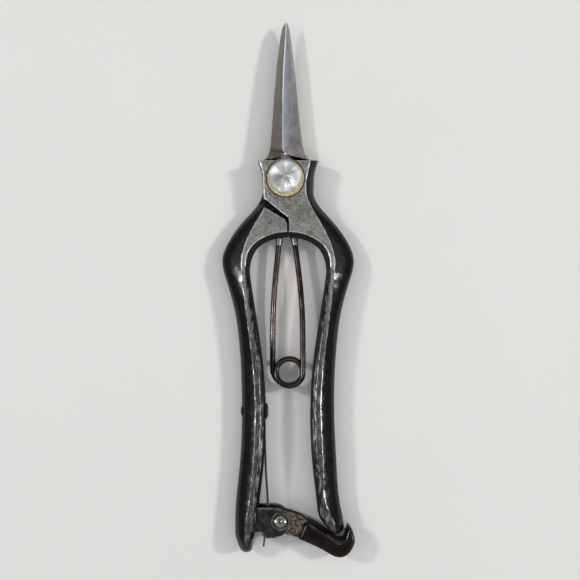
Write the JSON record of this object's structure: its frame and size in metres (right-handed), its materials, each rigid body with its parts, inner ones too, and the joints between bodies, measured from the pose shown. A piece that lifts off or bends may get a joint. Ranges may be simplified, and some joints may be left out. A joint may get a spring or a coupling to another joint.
{
  "type": "pruning shears",
  "caption": "Slim-bladed pruning shears: two lapped steel levers on a rivet, a torsion spring between the handles and a hook that latches them shut.",
  "frame": {"origin": "on the pivot axis, at the flat back face of the levers", "axes": "+Y from the pivot to the blade tips, +Z along the pivot axis from the back face to the front face, +X to the right seen from the front; shears closed"},
  "size_m": [0.0446, 0.1797, 0.0106],
  "materials": {
    "lever_steel": "glossy black scale, ground flats",
    "bright_steel": "turned and polished",
    "brass": "satin",
    "spring_wire": "dark tempered wire",
    "ferrule_steel": "satin",
    "bracket_steel": "dark satin",
    "hook_steel": "glossy dark brown-black",
    "blued_steel": "blued"
  },
  "bodies": {
    "lower_lever": {"lower_lever": "lever_steel", "pivot_rivet": "bright_steel", "pivot_washer": "brass", "latch_bracket": "bracket_steel", "latch_rivet": "bright_steel", "latch_washer": "brass", "leaf_spring": "blued_steel", "leaf_rivet": "blued_steel"},
    "upper_lever": {"upper_lever": "lever_steel"},
    "latch_hook": {"latch_hook": "hook_steel"},
    "spring_left": {"spring_left_arm": "spring_wire", "left_spring_ferrule": "ferrule_steel"},
    "spring_right": {"spring_right_arm": "spring_wire", "right_spring_ferrule": "ferrule_steel"}
  },
  "joints": [
    {"name": "main_pivot", "type": "hinge", "parent": "lower_lever", "child": "upper_lever", "pos_m": [0, 0, 0.0045], "axis": [0, 0, 1], "range_deg": [0, 16]},
    {"name": "latch_pivot", "type": "hinge", "parent": "lower_lever", "child": "latch_hook", "pos_m": [-0.0017, -0.1144, 0.0045], "axis": [0, 0, 1], "range_deg": [-74.5, 0]},
    {"name": "spring_seat", "type": "hinge", "parent": "lower_lever", "child": "spring_left", "pos_m": [-0.00205, -0.02, 0.0045], "axis": [0, 0, 1], "range_deg": [0, 11.7]},
    {"name": "spring_coil", "type": "hinge", "parent": "spring_left", "child": "spring_right", "pos_m": [0.0013, -0.06495, 0.0045], "axis": [0, 0, 1], "range_deg": [-7.1, 0]}
  ],
  "couplings": [
    {"joint": "latch_pivot", "follows": "main_pivot", "ratio": -4.65},
    {"joint": "spring_seat", "follows": "main_pivot", "ratio": 0.73},
    {"joint": "spring_coil", "follows": "main_pivot", "ratio": -0.44}
  ]
}
